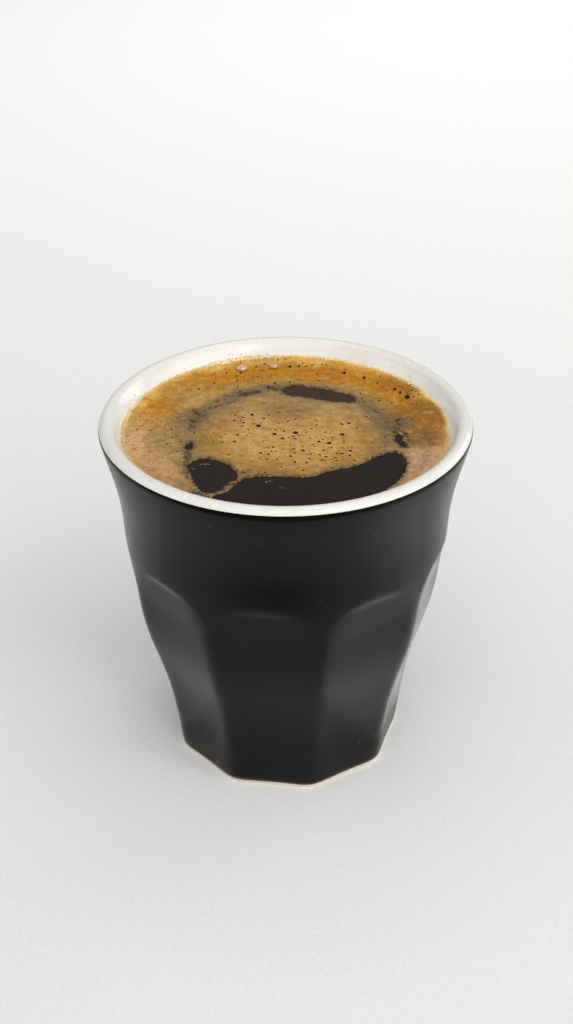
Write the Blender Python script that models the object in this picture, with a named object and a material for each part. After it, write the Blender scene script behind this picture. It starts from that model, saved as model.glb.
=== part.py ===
"""A black coffee with a broken layer of crema, in its faceted ceramic tumbler.

The tumbler is black outside and white inside, with nine flat panels that run from
the foot up to an arch below the plain round rim. One panel faces -Y. The coffee fills
the tumbler almost to the brim, and the crema floats on it and leaves it open in places.

Everything is in metres, +Z up, with the origin at the middle of the foot.
"""

import math

import bmesh
import bpy

# Tumbler: driving dimensions
RIM_RADIUS = 0.0425
HEIGHT = 0.0872
PANELS = 9
COLUMNS_PER_PANEL = 12
LIP_HALF_THICKNESS = 0.0019
LIP_STEPS = 6

# Round body above the panels, as (height, radius)
BODY_PROFILE = (
    (0.0400, 0.0367),
    (0.0500, 0.0373),
    (0.0600, 0.0380),
    (0.0650, 0.0383),
    (0.0700, 0.0389),
    (0.0740, 0.0397),
    (0.0782, 0.0407),
    (0.0820, 0.0418),
    (HEIGHT - LIP_HALF_THICKNESS, RIM_RADIUS),
)

# Middle line of a panel, as (height, distance from the axis)
PANEL_PROFILE = (
    (0.0000, 0.0259),
    (0.0060, 0.0267),
    (0.0120, 0.0273),
    (0.0190, 0.0284),
    (0.0260, 0.0300),
    (0.0330, 0.0322),
    (0.0394, 0.0336),
    (0.0450, 0.0345),
    (0.0500, 0.0351),
    (0.0542, 0.0361),
    (0.0582, 0.0374),
    (0.0620, 0.0391),
)
PANEL_HOLLOW = 0.0003
RIDGE_ROUNDING = 0.0010
FOOT_CORNER_ROUNDING = 0.0024
FOOT_CORNER_REACH = 0.012
ARCH_ROUNDING = 0.0004
ARCH_LOWEST = 0.036
ARCH_HIGHEST = 0.0615
ARCH_TOLERANCE = 0.00001
LEVEL_ROWS_FROM = 0.0740

# Rows of the wall: parts of the way up a panel, then parts of the way up the body
PANEL_ROWS = (0.05, 0.11, 0.21, 0.32, 0.44, 0.55, 0.66, 0.76, 0.84, 0.90, 0.95, 1.0)
BODY_ROWS = (0.12, 0.28, 0.52, 0.76, 1.0)
RIM_ROWS = (0.0782, 0.0820)

# Foot: a flat ring round a shallow hollow
FOOT_RING_INNER = 0.0200
FOOT_HOLLOW_DEPTH = 0.0015
FOOT_HOLLOW_SLOPE = 0.0008
FOOT_EDGE = 0.0006

# Inside of the tumbler, as (height, radius), down to the rounding at its floor
CAVITY_PROFILE = (
    (0.0120, 0.0228),
    (0.0200, 0.0244),
    (0.0300, 0.0269),
    (0.0400, 0.0297),
    (0.0500, 0.0319),
    (0.0600, 0.0335),
    (0.0680, 0.0343),
    (0.0740, 0.0351),
    (0.0790, 0.0362),
    (0.0820, 0.0372),
    (HEIGHT - LIP_HALF_THICKNESS, RIM_RADIUS - 2 * LIP_HALF_THICKNESS),
)
FLOOR_HEIGHT = 0.0060
FLOOR_ROUNDING = 0.0060
FLOOR_STEPS = 4
LEAST_RING_STEP = 0.001

# Drink, clear of the wall and of its own layers by the gap
GAP = 0.0003
CREMA_TOP = 0.0838
CREMA_THICKNESS = 0.0012
CREMA_EDGE = 0.0003
COFFEE_COLUMNS = 72
CREMA_COLUMNS = 108
OUTLINE_STEPS = 3

# Places where the crema is open and the coffee shows, each an outline of (x, y)
FRONT_POOL = (
    (-0.0096, -0.0325),
    (-0.0078, -0.0282),
    (-0.0052, -0.0234),
    (0.0012, -0.0219),
    (0.0076, -0.0212),
    (0.0122, -0.0180),
    (0.0178, -0.0149),
    (0.0222, -0.0102),
    (0.0256, -0.0081),
    (0.0281, -0.0106),
    (0.0284, -0.0156),
    (0.0258, -0.0232),
    (0.0205, -0.0292),
    (0.0105, -0.0336),
    (-0.0020, -0.0352),
)
LEFT_POOL = (
    (-0.0191, -0.0198),
    (-0.0168, -0.0164),
    (-0.0128, -0.0167),
    (-0.0091, -0.0196),
    (-0.0076, -0.0236),
    (-0.0097, -0.0264),
    (-0.0108, -0.0300),
    (-0.0126, -0.0307),
    (-0.0160, -0.0274),
    (-0.0178, -0.0230),
)
BACK_SLIT = (
    (-0.0032, 0.0180),
    (-0.0012, 0.0213),
    (0.0036, 0.0208),
    (0.0094, 0.0196),
    (0.0144, 0.0154),
    (0.0112, 0.0144),
    (0.0040, 0.0155),
)
LEFT_SPOT = (
    (-0.0213, -0.0109),
    (-0.0202, -0.0093),
    (-0.0192, -0.0114),
    (-0.0199, -0.0134),
)
RIGHT_SPOT = (
    (0.0250, -0.0008),
    (0.0258, 0.0010),
    (0.0272, -0.0020),
    (0.0283, -0.0057),
    (0.0266, -0.0046),
)
OPENINGS = (FRONT_POOL, LEFT_POOL, BACK_SLIT, LEFT_SPOT, RIGHT_SPOT)

# Edges sharper than this stay crisp under the smooth shading
SHARP_ANGLE = math.radians(50)


def clear_scene():
    for old in list(bpy.data.objects):
        bpy.data.objects.remove(old, do_unlink=True)


def material(name, colour, roughness):
    """A plain Principled material of one colour."""
    made = bpy.data.materials.new(name)
    made.use_nodes = True
    shader = made.node_tree.nodes["Principled BSDF"]
    shader.inputs["Base Color"].default_value = (*colour, 1.0)
    shader.inputs["Roughness"].default_value = roughness
    shader.inputs["Metallic"].default_value = 0.0
    made.diffuse_color = (*colour, 1.0)
    return made


def add_object(name, bm, finish):
    """Turns the bmesh into a named, smooth shaded object with its material."""
    bmesh.ops.recalc_face_normals(bm, faces=bm.faces)
    mesh = bpy.data.meshes.new(name)
    bm.to_mesh(mesh)
    bm.free()
    mesh.materials.append(finish)
    mesh.shade_smooth()
    mesh.set_sharp_from_angle(angle=SHARP_ANGLE)
    made = bpy.data.objects.new(name, mesh)
    bpy.context.scene.collection.objects.link(made)
    return made


def slopes_of(points):
    """Slope at each point of a profile, from its neighbours on both sides."""
    slopes = []
    for index in range(len(points)):
        below = points[max(index - 1, 0)]
        above = points[min(index + 1, len(points) - 1)]
        slopes.append((above[1] - below[1]) / (above[0] - below[0]))
    return slopes


def profile_at(points, height):
    """Radius at a height, on the smooth curve through the profile's points."""
    height = min(max(height, points[0][0]), points[-1][0])
    slopes = slopes_of(points)
    index = 0
    while index < len(points) - 2 and height > points[index + 1][0]:
        index += 1
    (low, low_radius), (high, high_radius) = points[index], points[index + 1]
    span = high - low
    part = (height - low) / span
    return (
        (1 + 2 * part) * (1 - part) ** 2 * low_radius
        + part * (1 - part) ** 2 * span * slopes[index]
        + part**2 * (3 - 2 * part) * high_radius
        + part**2 * (part - 1) * span * slopes[index + 1]
    )


def smooth_min(first, second, rounding):
    """The smaller of two distances, with the corner between them rounded off."""
    overlap = max(rounding - abs(first - second), 0.0)
    return min(first, second) - overlap**2 / (4 * rounding)


def azimuth_of(point):
    """Angle of a point about +Z, from -Y towards +X."""
    return math.atan2(point.x, -point.y)


def from_panel_middle(azimuth):
    """Angle from the middle line of the nearest panel."""
    panel = 2 * math.pi / PANELS
    return abs((azimuth + panel / 2) % panel - panel / 2)


def panel_radius(offset, height):
    """Radius of one slightly hollow panel, at an angle from its middle line."""
    half_panel = math.pi / PANELS
    hollow = PANEL_HOLLOW * (math.tan(offset) / math.tan(half_panel)) ** 2
    return (profile_at(PANEL_PROFILE, height) + hollow) / math.cos(offset)


def wall_radius(offset, height):
    """Radius of the outside wall: the round body, cut by a panel and its neighbour."""
    body = profile_at(BODY_PROFILE, height)
    if height > PANEL_PROFILE[-1][0]:
        return body
    foot_part = max(1 - height / FOOT_CORNER_REACH, 0.0)
    rounding = RIDGE_ROUNDING + (FOOT_CORNER_ROUNDING - RIDGE_ROUNDING) * foot_part
    panel = panel_radius(offset, height)
    neighbour = panel_radius(2 * math.pi / PANELS - offset, height)
    return smooth_min(smooth_min(panel, neighbour, rounding), body, ARCH_ROUNDING)


def arch_height(offset):
    """Height where the panel runs out into the round body, found by halving."""
    low, high = ARCH_LOWEST, ARCH_HIGHEST
    while high - low > ARCH_TOLERANCE:
        middle = (low + high) / 2
        if panel_radius(offset, middle) < profile_at(BODY_PROFILE, middle):
            low = middle
        else:
            high = middle
    return high


def place(point, radius, height):
    """Moves a point to a radius and height, and keeps its azimuth."""
    azimuth = azimuth_of(point)
    point.x = radius * math.sin(azimuth)
    point.y = -radius * math.cos(azimuth)
    point.z = height


def extruded_ring(bm, edges):
    """Extrudes a ring of edges and returns the new points and edges."""
    made = bmesh.ops.extrude_edge_only(bm, edges=edges)["geom"]
    points = [item for item in made if isinstance(item, bmesh.types.BMVert)]
    return points, [item for item in made if isinstance(item, bmesh.types.BMEdge)]


def round_ring(bm, edges, radius, height):
    points, edges = extruded_ring(bm, edges)
    for point in points:
        place(point.co, radius, height)
    return edges


def wall_ring(bm, edges, height_at, inset=0.0):
    """A ring on the outside wall, at the height that height_at gives for its angle."""
    points, edges = extruded_ring(bm, edges)
    for point in points:
        offset = from_panel_middle(azimuth_of(point.co))
        height = height_at(offset)
        place(point.co, wall_radius(offset, height) - inset, height)
    return edges


def disc(bm, columns, radius, height):
    """A capped ring to start from, and its edges."""
    made = bmesh.ops.create_circle(bm, cap_ends=True, segments=columns, radius=radius)
    for point in made["verts"]:
        point.co.z = height
    return list(bm.edges)


def foot(bm, edges):
    """The hollow under the foot, the flat ring it stands on, and its rounded edge."""
    edges = round_ring(bm, edges, FOOT_RING_INNER, 0.0)
    points, edges = extruded_ring(bm, edges)
    for point in points:
        offset = from_panel_middle(azimuth_of(point.co))
        place(point.co, wall_radius(offset, 0.0) - FOOT_EDGE, 0.0)
    rounding = FOOT_EDGE * (1 - math.sqrt(0.5))
    edges = wall_ring(bm, edges, lambda offset: rounding, rounding)
    return wall_ring(bm, edges, lambda offset: FOOT_EDGE)


def outside_wall(bm, edges):
    """Rows that follow the arches up the panels, then level out below the rim."""
    for part in PANEL_ROWS:
        edges = wall_ring(
            bm, edges, lambda offset: FOOT_EDGE + part * (arch_height(offset) - FOOT_EDGE)
        )
    for part in BODY_ROWS:
        edges = wall_ring(
            bm,
            edges,
            lambda offset: arch_height(offset)
            + part * (LEVEL_ROWS_FROM - arch_height(offset)),
        )
    for height in RIM_ROWS:
        edges = wall_ring(bm, edges, lambda offset: height)
    return edges


def lip(bm, edges):
    """The half round lip, from the outside over the top to the inside."""
    middle_radius = RIM_RADIUS - LIP_HALF_THICKNESS
    middle_height = HEIGHT - LIP_HALF_THICKNESS
    for step in range(LIP_STEPS + 1):
        angle = math.pi * step / LIP_STEPS
        radius = middle_radius + LIP_HALF_THICKNESS * math.cos(angle)
        height = middle_height + LIP_HALF_THICKNESS * math.sin(angle)
        edges = round_ring(bm, edges, radius, height)
    return edges


def cavity_rings(top, inset):
    """(radius, height) of rings down the inside wall from a height to the floor."""
    rings = [
        (profile_at(CAVITY_PROFILE, height) - inset, height)
        for height, _ in reversed(CAVITY_PROFILE)
        if height < top - LEAST_RING_STEP
    ]
    foot_radius = CAVITY_PROFILE[0][1] - FLOOR_ROUNDING
    for step in range(1, FLOOR_STEPS + 1):
        angle = math.pi / 2 * step / FLOOR_STEPS
        radius = foot_radius + (FLOOR_ROUNDING - inset) * math.cos(angle)
        height = FLOOR_HEIGHT + FLOOR_ROUNDING - (FLOOR_ROUNDING - inset) * math.sin(angle)
        rings.append((radius, height))
    return rings


def make_cup(finish):
    bm = bmesh.new()
    columns = PANELS * COLUMNS_PER_PANEL
    edges = disc(bm, columns, FOOT_RING_INNER - FOOT_HOLLOW_SLOPE, FOOT_HOLLOW_DEPTH)
    edges = foot(bm, edges)
    edges = outside_wall(bm, edges)
    edges = lip(bm, edges)
    for radius, height in cavity_rings(CAVITY_PROFILE[-1][0], 0.0):
        edges = round_ring(bm, edges, radius, height)
    bmesh.ops.contextual_create(bm, geom=edges)
    return add_object("cup", bm, finish)


def curve_point(before, start, end, after, part):
    """A point between start and end, on the smooth curve through all four."""
    return 0.5 * (
        2 * start
        + (end - before) * part
        + (2 * before - 5 * start + 4 * end - after) * part**2
        + (3 * start - before - 3 * end + after) * part**3
    )


def smooth_outline(corners):
    """The closed smooth curve through the corners, as a list of (x, y)."""
    count = len(corners)
    outline = []
    for index in range(count):
        around = [corners[(index + shift) % count] for shift in (-1, 0, 1, 2)]
        for step in range(OUTLINE_STEPS):
            part = step / OUTLINE_STEPS
            outline.append(
                tuple(curve_point(*(corner[axis] for corner in around), part) for axis in (0, 1))
            )
    return outline


def opening_block(corners, low, high, inset=0.0):
    """A block as wide as an opening of the crema, or narrower by the inset."""
    bm = bmesh.new()
    points = [bm.verts.new((x, y, low)) for x, y in smooth_outline(corners)]
    face = bm.faces.new(points)
    if inset:
        bmesh.ops.inset_region(bm, faces=[face], thickness=inset, use_even_offset=True)
        rim = [other for other in bm.faces if other is not face]
        bmesh.ops.delete(bm, geom=rim, context="FACES")
    raised = bmesh.ops.extrude_face_region(bm, geom=[face])["geom"]
    for item in raised:
        if isinstance(item, bmesh.types.BMVert):
            item.co.z = high
    bmesh.ops.recalc_face_normals(bm, faces=bm.faces)
    mesh = bpy.data.meshes.new("opening_block")
    bm.to_mesh(mesh)
    bm.free()
    block = bpy.data.objects.new("opening_block", mesh)
    bpy.context.scene.collection.objects.link(block)
    return block


def combine(target, blocks, operation):
    """Cuts the blocks from the target, or joins them to it, and removes them."""
    helpers = bpy.data.collections.new("opening_blocks")
    bpy.context.scene.collection.children.link(helpers)
    for block in blocks:
        bpy.context.scene.collection.objects.unlink(block)
        helpers.objects.link(block)
    modifier = target.modifiers.new("openings", "BOOLEAN")
    modifier.operand_type = "COLLECTION"
    modifier.collection = helpers
    modifier.operation = operation
    modifier.solver = "EXACT"
    graph = bpy.context.evaluated_depsgraph_get()
    result = bpy.data.meshes.new_from_object(target.evaluated_get(graph))
    target.modifiers.clear()
    target.data = result
    for block in blocks:
        bpy.data.objects.remove(block, do_unlink=True)
    bpy.data.collections.remove(helpers)


def make_coffee(finish):
    """The drink, up to the crema and raised where the crema is open."""
    top = CREMA_TOP - CREMA_THICKNESS - GAP
    bm = bmesh.new()
    edges = disc(bm, COFFEE_COLUMNS, profile_at(CAVITY_PROFILE, top) - GAP, top)
    for radius, height in cavity_rings(top, GAP):
        edges = round_ring(bm, edges, radius, height)
    bmesh.ops.contextual_create(bm, geom=edges)
    coffee = add_object("coffee", bm, finish)
    raised = [
        opening_block(corners, top - CREMA_THICKNESS, CREMA_TOP - GAP, GAP)
        for corners in OPENINGS
    ]
    combine(coffee, raised, "UNION")
    return coffee


def make_crema(finish):
    """The foam layer, a disc with soft edges that is cut through at its openings."""
    low = CREMA_TOP - CREMA_THICKNESS
    bm = bmesh.new()
    edges = disc(bm, CREMA_COLUMNS, profile_at(CAVITY_PROFILE, low) - GAP, low)
    shoulder = CREMA_TOP - CREMA_EDGE
    edges = round_ring(bm, edges, profile_at(CAVITY_PROFILE, shoulder) - GAP, shoulder)
    top_radius = profile_at(CAVITY_PROFILE, CREMA_TOP) - GAP - CREMA_EDGE
    edges = round_ring(bm, edges, top_radius, CREMA_TOP)
    bmesh.ops.contextual_create(bm, geom=edges)
    crema = add_object("crema", bm, finish)
    cutters = [
        opening_block(corners, low - CREMA_THICKNESS, CREMA_TOP + CREMA_THICKNESS)
        for corners in OPENINGS
    ]
    combine(crema, cutters, "DIFFERENCE")
    return crema


def main():
    clear_scene()
    make_cup(material("black_glaze", (0.020, 0.020, 0.021), 0.35))
    make_coffee(material("black_coffee", (0.020, 0.010, 0.006), 0.08))
    make_crema(material("golden_crema", (0.42, 0.25, 0.10), 0.55))


main()
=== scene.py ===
import math
import random

import bmesh
import bpy
import numpy as np
from mathutils import Matrix, Vector
from mathutils.kdtree import KDTree


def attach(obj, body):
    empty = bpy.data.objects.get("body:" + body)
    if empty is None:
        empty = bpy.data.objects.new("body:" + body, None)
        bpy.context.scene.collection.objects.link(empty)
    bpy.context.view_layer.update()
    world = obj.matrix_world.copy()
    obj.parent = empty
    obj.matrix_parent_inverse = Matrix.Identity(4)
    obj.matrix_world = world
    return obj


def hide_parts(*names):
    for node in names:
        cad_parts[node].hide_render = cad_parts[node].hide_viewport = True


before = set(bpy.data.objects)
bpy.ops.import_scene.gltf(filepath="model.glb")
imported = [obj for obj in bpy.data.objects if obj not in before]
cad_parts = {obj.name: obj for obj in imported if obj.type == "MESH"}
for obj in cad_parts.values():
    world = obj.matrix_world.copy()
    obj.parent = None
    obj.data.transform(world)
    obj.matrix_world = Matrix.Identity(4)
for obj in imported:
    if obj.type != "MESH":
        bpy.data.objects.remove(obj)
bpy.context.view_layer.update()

MM = 0.001
# How near a height or an angle counts as on it, and how near two points count as one
NEAR = 0.1 * MM
NEAR_ANGLE = 0.01
SAME_POINT = 0.01 * MM

# Camera, at the photograph's viewing angle
PHOTO_HEIGHT = 1024
FOCAL_PIXELS = 1661.0
SENSOR_HEIGHT = 36.0
CAMERA_PLACE = (45.13 * MM, -330.13 * MM, 264.75 * MM)
CAMERA_TURN = math.radians(7.764)
CAMERA_PITCH = math.radians(31.41)
CAMERA_ROLL = math.radians(-0.244)

# Tumbler, outside: two drawn forms, of which the wall takes whichever lies further in
PANELS = 9
CAGE_COLUMNS_PER_PANEL = 8
PANEL_HOLLOW = 0.3 * MM
PANEL_CAGE = (
    (-4, 25.4), (0, 25.9), (4, 26.5), (8, 26.9), (12, 27.3), (16, 27.85), (20, 28.65),
    (24, 29.6), (28, 30.7), (32, 31.9), (36, 32.95), (40, 33.75), (44, 34.35), (48, 34.9),
    (52, 35.8), (54, 36.25), (56, 36.7), (57.5, 37.1), (59, 38.5), (60.5, 40.2), (64, 43.5),
)
ROUNDER_FROM = 46
ROUNDER_TO = 55
ROUNDER_FLATNESS = 0.45
RIDGE_SHARPNESS = 2
FOOT_CORNER_HEIGHT = 10 * MM
FOOT_CORNER_PULL = 0.983
BODY_CAGE_START = -6 * MM
BODY_CAGE_STEP = 6 * MM
BODY_CAGE = (
    36.7, 36.7, 36.7, 36.7, 36.7, 36.5, 36.1, 36.5, 36.8, 37.2, 37.6, 38.0, 38.3, 39.2,
    40.6, 42.3, 43.5,
)
FORM_SMOOTHNESS = 3
WALL_COLUMNS = PANELS * 32
WALL_ROWS = 136
WALL_START_RADIUS = 20 * MM
WALL_BOTTOM = 0.9 * MM
WALL_TOP = 82 * MM
SOFTENED_FROM = 2 * MM
SOFTENED_TO = 74 * MM
SOFTENING = 2

# Tumbler, lip and inside
HEIGHT = 87.2 * MM
RIM_RADIUS = 42.5 * MM
LIP_HALF_THICKNESS = 1.9 * MM
BELOW_LIP = ((83.2, 41.96), (84.3, 42.23))
LIP_SWEEP = math.radians(144)
LIP_STEPS = 12
GLAZE_LINE_STEP = 2
CAVITY = (
    (83.9, 37.5), (82.0, 36.9), (79.0, 36.1), (74.0, 35.1), (68.0, 34.3), (60.0, 33.5),
    (50.0, 31.9), (40.0, 29.7), (30.0, 26.9), (20.0, 24.4), (12.0, 22.8),
)
FLOOR_HEIGHT = 6 * MM
FLOOR_ROUNDING = 6 * MM
FLOOR_STEPS = 4

# Tumbler, foot
FOOT_ROUNDING = ((0.84, 0.1), (0.3, 0.1), (0.1, 0.2), (0.0, 0.45))
FOOT_RING_INNER = 20 * MM
FOOT_HOLLOW_DEPTH = 1.5 * MM
FOOT_HOLLOW_SLOPE = 0.8 * MM
CLAY_LINE = 0.9 * MM
FACES_DOWN = -0.5

# Drink
COFFEE_TOP = 83.5 * MM
COFFEE_COLUMNS = 144
COFFEE_BORDER = 0.4 * MM
INTO_WALL = 0.15 * MM
CREMA_TOP = 83.8 * MM
CREMA_COLUMNS = 216
CREMA_EDGE = ((82.6, 0.15), (83.4, 0.15), (84.0, 0.15), (83.9, -0.5), (83.82, -1.2), (83.8, -2.2))
FRONT_POOL = (
    (-11.6, -33.8), (-8.4, -29.0), (-5.6, -23.6), (1.2, -21.9), (7.6, -21.2), (12.2, -18.0),
    (17.8, -14.9), (22.2, -10.2), (25.6, -8.1), (28.1, -10.6), (28.4, -15.6), (25.8, -23.2),
    (20.5, -29.2), (10.5, -33.6), (-2.0, -35.2),
)
LEFT_POOL = (
    (-19.1, -19.8), (-16.8, -16.4), (-12.8, -16.7), (-9.1, -19.6), (-7.6, -23.6),
    (-9.4, -26.6), (-10.9, -30.2), (-12.8, -30.9), (-16.0, -27.4), (-17.8, -23.0),
)
BACK_SLIT = (
    (-3.2, 18.0), (-1.2, 21.3), (3.6, 20.8), (9.4, 19.6), (14.4, 15.4), (11.2, 14.4), (4.0, 15.5),
)
LEFT_SPOT = ((-21.2, -10.9), (-20.2, -9.4), (-19.5, -11.2), (-20.0, -12.9))
RIGHT_SPOT = ((25.1, -0.8), (25.8, 0.6), (26.9, -2.2), (27.7, -5.5), (26.5, -4.6))
OPENING_STEPS = 20
CUTTER_HALF_HEIGHT = 2 * MM
RAGGEDNESS = 0.9 * MM
RAGGED_LUMP = 1.1 * MM
FROTH_CELL = 0.25 * MM
FROTH_SWELL = 0.3 * MM
FROTH_LUMP = 1.4 * MM
FROTH_SOFTENING = 3
# Froth this near the wall keeps its form
HELD_AT_WALL = 1.0 * MM
# Under the froth, where nothing shows, this share of the faces stays
UNDERSIDE_DEPTH = 0.35 * MM
UNDERSIDE_KEPT = 0.5

# Popped bubbles that show singly in the crema: place, then width across
PITS = (
    (2.6, -2.1, 1.3), (10.6, -6.0, 1.2), (13.2, -1.7, 1.1), (-6.3, 0.0, 1.2), (-8.5, 5.1, 1.0),
    (-2.1, -3.3, 1.0), (5.2, -10.0, 1.0), (0.0, -5.2, 1.0), (14.1, -10.5, 0.9), (15.8, -9.0, 0.9),
    (15.8, -11.0, 0.7), (6.8, -15.4, 0.8), (8.3, -5.7, 0.9), (9.2, -11.7, 0.7), (10.7, -12.3, 0.7),
    (2.9, -13.0, 0.8), (-1.5, -9.4, 0.8), (-3.9, -12.4, 0.8), (-10.5, -8.0, 0.8), (-10.3, -4.8, 0.7),
    (-9.9, 1.1, 0.8), (-12.1, 2.0, 0.7), (-10.3, 3.6, 0.6), (14.1, 3.8, 0.9), (12.6, 3.3, 0.8),
    (6.6, 4.3, 0.6), (17.8, 7.4, 0.6), (9.8, -9.5, 0.7), (26.4, 18.5, 1.3), (24.6, 20.6, 0.9),
    (23.2, 22.2, 0.9), (10.4, 29.3, 1.0), (15.4, 27.3, 0.9), (-3.1, 31.0, 0.9), (-1.0, 31.5, 0.7),
)
# Smaller ones strewn about a middle: how many, their middle, their spread and their widths
STREWN_PITS = (
    (95, (5.0, -9.0), 8.0, (0.35, 0.65)),
    (26, (-9.0, -1.0), 5.0, (0.35, 0.6)),
    (36, (-29.0, -4.0), 6.0, (0.25, 0.5)),
    (40, (-14.0, 26.0), 6.0, (0.25, 0.6)),
    (40, (22.0, 20.0), 7.0, (0.25, 0.5)),
    (16, (4.0, 29.0), 6.0, (0.25, 0.5)),
)
STREWN_WITHIN = 35.5
PIT_SPACING = 0.45
PIT_LEVEL_ENOUGH = 0.85
PIT_INSIDE = 0.51
# Those on the slope of froth at the back wall are long
SLOPED_FROM = 15 * MM
SLOPED_STRETCH = 1.6
PIT_RIM_WIDTH = 0.35 * MM
PIT_RIM_HEIGHT = 0.07 * MM
# The rim of a wider pit gets a painted highlight on its far side, which faces the light
RIM_HIGHLIGHT_FROM = 0.6 * MM
RIM_HIGHLIGHT_OUTSIDE = 0.15 * MM
RIM_HIGHLIGHT_HALF_WIDTH = 0.2 * MM
RIM_HIGHLIGHT_SIDE = (0.5, 0.86)
RIM_HIGHLIGHT_ALL_ROUND = 0.35
RANDOM_SEED = 7

# Whole bubbles along the wall: how many, at which angle, over what spread, and their widths
WALL_BUBBLES = (
    (150, 116, 9, (0.25, 0.65)), (70, 66, 8, (0.25, 0.5)), (90, 95, 20, (0.2, 0.35)),
    (90, 172, 16, (0.2, 0.4)), (60, 35, 14, (0.2, 0.4)),
)
BUBBLE_HEIGHT = 0.8
WALL_BUBBLE_SPREAD = 0.5 * MM
WALL_BUBBLE_INSET = 0.4
WALL_BUBBLE_CLIMB = 0.2 * MM
WALL_BUBBLE_LIFT = 0.05 * MM
# Two large bubbles at the back, their domes pale with a painted highlight on top, and flecks of foam
# afloat in the pools
DOMES = ((-14.4, 27.8, 2.6), (-7.0, 29.8, 2.2))
DOME_SUNK = 0.15
FLECKS = (
    (-16.1, -18.6, 0.3), (-15.4, -18.2, 0.3), (-14.6, -18.4, 0.25), (-0.9, -24.3, 0.3),
    (-0.2, -23.8, 0.35), (2.6, -26.2, 0.3), (3.2, -26.4, 0.2), (-17.6, -20.6, 0.25),
)
FLECK_BUBBLES = 12
FLECK_SPREAD = (0.3, 0.15)
FLECK_HEIGHT = 0.5
FLECK_LIFT = 0.02 * MM
# Specks of froth left on the white wall: how many, at which angle, over what spread
WALL_SPECKS = ((9, 168, 5), (5, 130, 14), (4, 60, 20))
SPECK_HEIGHTS = (84.2, 85.4)
SPECK_WIDTHS = (0.2, 0.4)

# Where the froth is thin and the coffee shows through: from, to, half width, strength
THIN_FROTH = (
    ((-12.5, 15.0), (-9.0, 16.8), 1.5, 0.7),
    ((-22.0, 5.5), (-20.0, 3.2), 1.8, 0.6),
    ((-19.5, 6.5), (-13.5, 12.0), 1.4, 0.5),
    ((-21.8, 1.0), (-21.3, -3.0), 1.6, 0.58),
    ((-20.6, -12.5), (-19.0, -18.0), 1.8, 0.6),
    ((-20.0, -18.5), (-17.8, -25.0), 1.5, 0.6),
    ((-7.0, 19.5), (-3.5, 18.0), 1.6, 0.62),
    ((25.0, 1.0), (25.5, 7.0), 1.6, 0.6),
    ((-11.0, -30.0), (-8.0, -24.5), 2.4, 0.66),
    ((-15.5, -31.0), (-11.0, -33.5), 1.8, 0.65),
    ((27.0, 1.0), (28.5, -3.0), 1.4, 0.6),
    ((-7.5, -22.5), (-5.5, -20.5), 1.5, 0.55),
)
EDGE_THINNESS = 0.6
EDGE_REACH = 1.3 * MM

# A ring of thinner, greyer froth between the middle and the edge
THIN_RING_MIDDLE = (1.0, -2.0)
THIN_RING_RADIUS = 22.5
THIN_RING_HALF_WIDTH = 2.6
THIN_RING_STRENGTH = 0.42
THIN_RING_FADE = (-16.0, -2.0)

# Crema's colours outward from the middle, each with its distance, at the back and in front
CREMA_REACH = 40 * MM
CREMA_BACK = (
    (10, "#b28b50"), (16, "#a5834e"), (19.5, "#896f48"), (23, "#80694a"), (26, "#a47f3c"),
    (28.5, "#ae7718"), (31.5, "#b0720c"), (34, "#b87d1c"), (36, "#c28c30"), (38.5, "#d2a658"),
)
CREMA_FRONT = (
    (10, "#bc9150"), (16, "#ac8546"), (19.5, "#9a763c"), (23, "#8b724c"), (26, "#987d50"),
    (29, "#a58555"), (32.5, "#b48c5c"), (36, "#bc9264"), (38.5, "#c6a474"),
)
# How far the borders of the colours waver, in millimetres
RING_WAVER = 9
STAIN_WAVER = 5
FRINGE_WAVER = 1.5
# Tints that lie in one place: middle, reach, colour and strength
STAIN_CORE = 0.3
STAINS_AND_PAINTED_SHADE = (
    ((-1.0, 8.5), 8.0, "#7b5a3a", 0.6),
    # This and the dark brown tint at (31.5, -1) darken the right edge: partly a browner froth,
    # partly painted shade of the wall
    ((31.0, 9.0), 13.0, "#84561f", 0.7),
    ((34.0, -13.0), 10.0, "#b8937a", 0.8),
    ((31.5, -1.0), 6.5, "#6c4d2a", 0.8),
    ((2.0, 36.0), 6.0, "#dcae5c", 0.6),
    ((-17.0, -10.0), 6.0, "#8a6a30", 0.5),
    ((-34.0, -12.0), 9.0, "#c79a6a", 0.5),
    ((-26.0, -10.0), 5.0, "#867238", 0.5),
    ((-24.0, 12.0), 9.0, "#b18c4c", 0.8),
    ((-22.0, 2.0), 6.0, "#5c513e", 0.65),
    ((24.0, 6.0), 6.5, "#61573f", 0.75),
    ((19.0, 16.0), 4.5, "#7c6438", 0.5),
    ((4.0, 12.5), 6.0, "#7d7050", 0.55),
    ((-1.0, -19.0), 5.0, "#845f2a", 0.5),
    ((24.0, 24.0), 8.0, "#985e12", 0.7),
    ((13.5, 35.0), 4.0, "#dcb878", 0.6),
    ((-17.0, -29.0), 5.0, "#80694a", 0.6),
)

# Light bends alike in coffee and in the films of its bubbles
WATERY_IOR = 1.34

# Studio
FLOOR_SIZE = 6.0
AIM_HEIGHT = 0.05


def make_active(piece):
    """Selects one piece and nothing else."""
    bpy.ops.object.select_all(action="DESELECT")
    piece.select_set(True)
    bpy.context.view_layer.objects.active = piece


def start_editing(piece):
    make_active(piece)
    bpy.ops.object.mode_set(mode="EDIT")


def stop_editing():
    bpy.ops.object.mode_set(mode="OBJECT")


def set_in_place(piece):
    """Puts the piece's place into its mesh, so its object sits at the origin."""
    make_active(piece)
    bpy.ops.object.transform_apply(location=True, rotation=True, scale=True)


def apply_modifier(piece, kind, **settings):
    """Adds a modifier with its settings and applies it."""
    make_active(piece)
    bpy.ops.object.modifier_add(type=kind)
    modifier = piece.modifiers[-1]
    for name, value in settings.items():
        setattr(modifier, name, value)
    bpy.ops.object.modifier_apply(modifier=modifier.name)


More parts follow.
